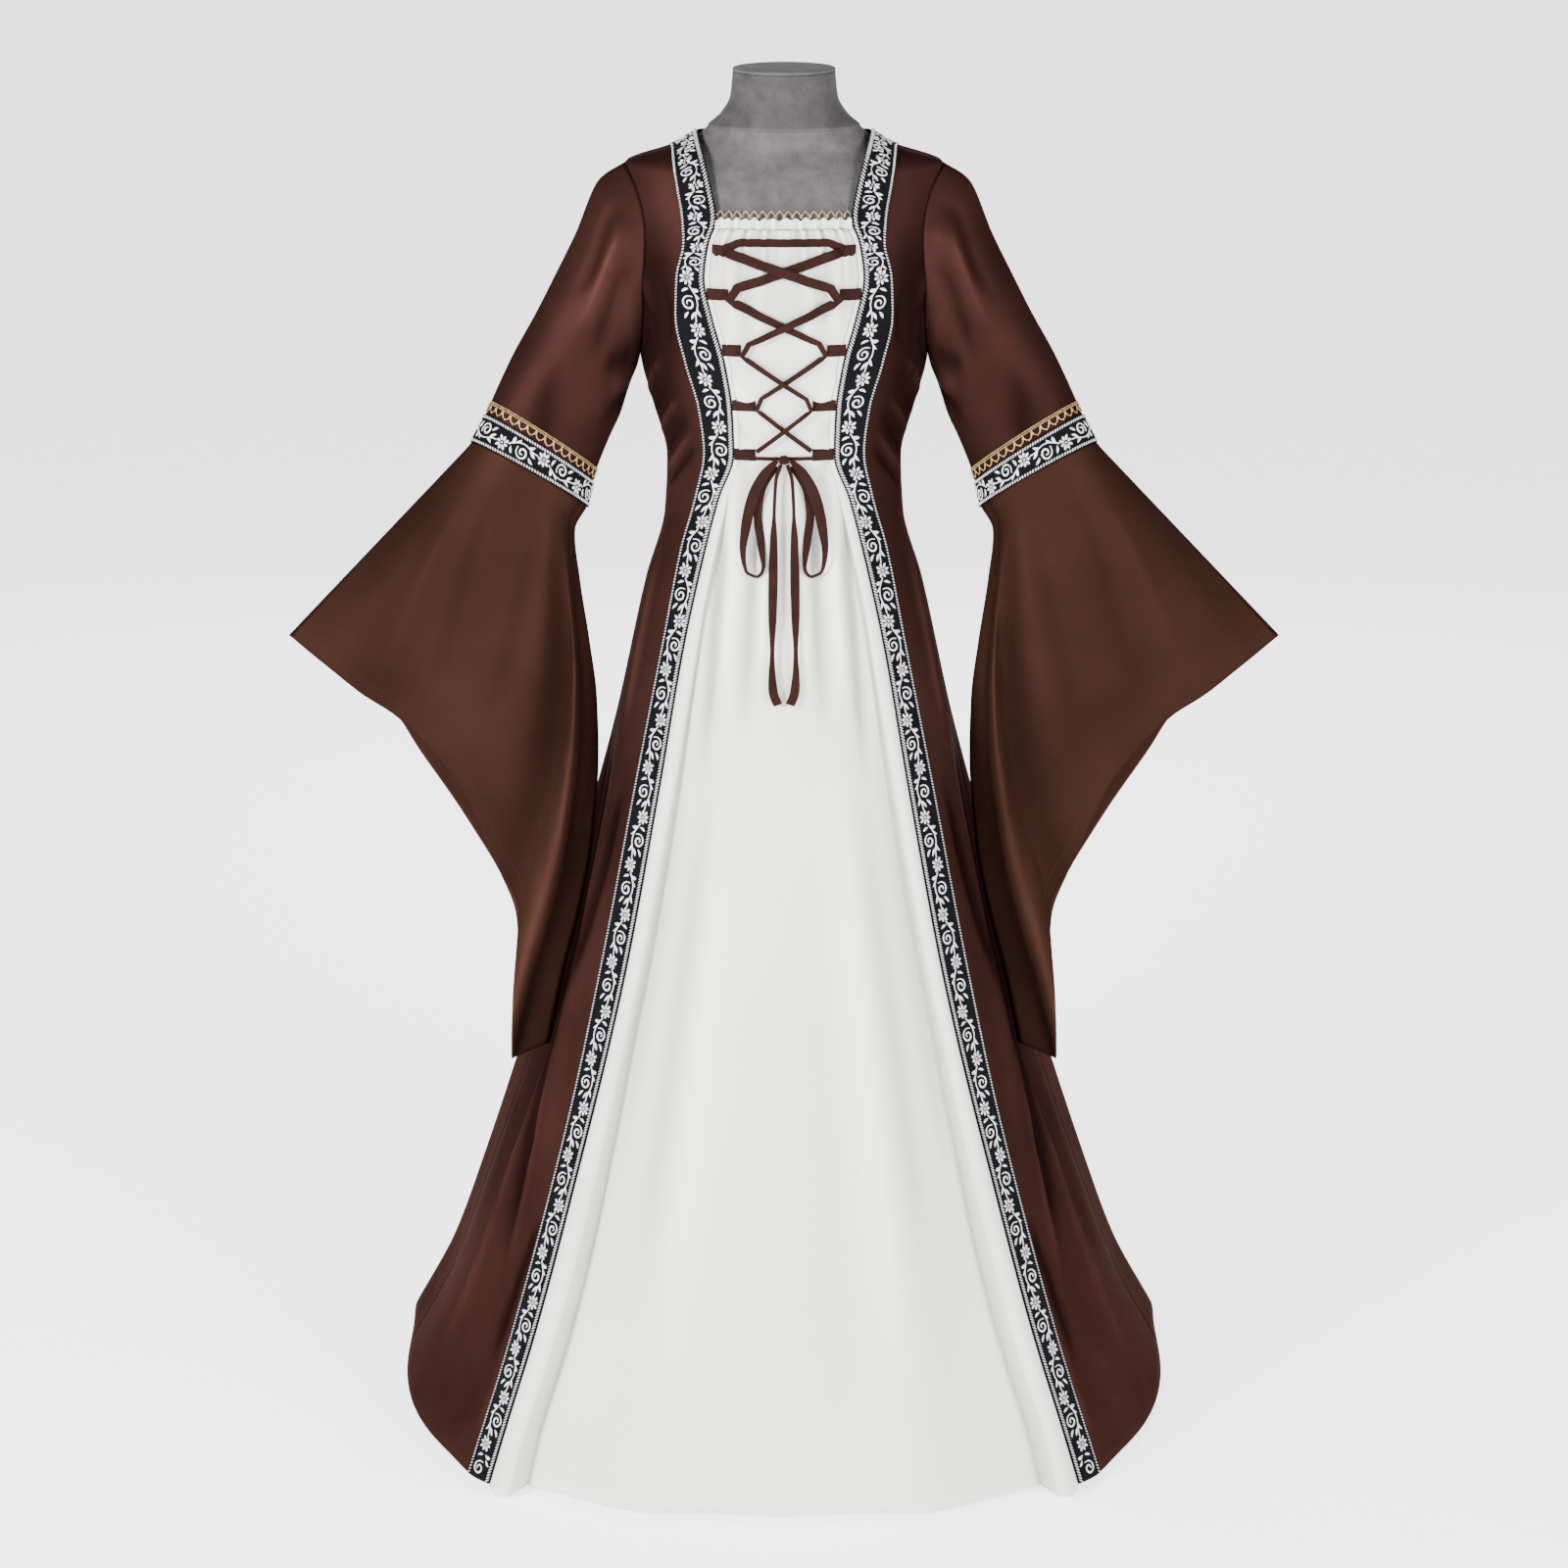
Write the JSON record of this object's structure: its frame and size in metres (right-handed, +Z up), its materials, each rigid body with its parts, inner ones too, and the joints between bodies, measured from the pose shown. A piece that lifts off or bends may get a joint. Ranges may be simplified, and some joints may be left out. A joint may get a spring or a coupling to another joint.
{
  "type": "medieval gown on a dress form",
  "caption": "Floor-length laced gown with bell sleeves, ribbon trims and a pale front, hung on a limbless dress form with a pole and a round base.",
  "frame": {"origin": "centre of the round base's flat underside", "axes": "+Z up along the pole, -Y out of the gown's front, +X towards the wearer's left"},
  "size_m": [1.1, 0.8168, 1.5083],
  "materials": {
    "brown_satin": "soft satin",
    "ivory_cloth": "matt plain weave",
    "woven_trim": "woven ribbon with silver-white flowers and corded edges",
    "gold_lace": "metallic thread lace",
    "brown_tape": "flat tape",
    "grey_suede": "short nap",
    "painted_steel": "satin grey paint"
  },
  "bodies": {
    "root": {"back": "brown_satin", "front_left": "brown_satin", "front_right": "brown_satin", "sleeve_upper_left": "brown_satin", "sleeve_upper_right": "brown_satin", "sleeve_bell_left": "brown_satin", "sleeve_bell_right": "brown_satin", "front_panel": "ivory_cloth", "neck_casing": "ivory_cloth", "trim_front_left": "woven_trim", "trim_front_right": "woven_trim", "trim_sleeve_left": "woven_trim", "trim_sleeve_right": "woven_trim", "lace_neck": "gold_lace", "lace_sleeve_left": "gold_lace", "lace_sleeve_right": "gold_lace", "tab_1_left": "brown_tape", "tab_1_right": "brown_tape", "tab_2_left": "brown_tape", "tab_2_right": "brown_tape", "tab_3_left": "brown_tape", "tab_3_right": "brown_tape", "tab_4_left": "brown_tape", "tab_4_right": "brown_tape", "tab_5_left": "brown_tape", "tab_5_right": "brown_tape", "lacing_strand_left": "brown_tape", "lacing_strand_right": "brown_tape", "lacing_top": "brown_tape", "lacing_bottom": "brown_tape", "bow_knot": "brown_tape", "bow_loop_left": "brown_tape", "bow_loop_right": "brown_tape", "bow_tail_left": "brown_tape", "bow_tail_right": "brown_tape", "form_torso": "grey_suede", "form_neck_cap": "grey_suede", "form_pole": "painted_steel", "form_base": "painted_steel"}
  },
  "joints": []
}
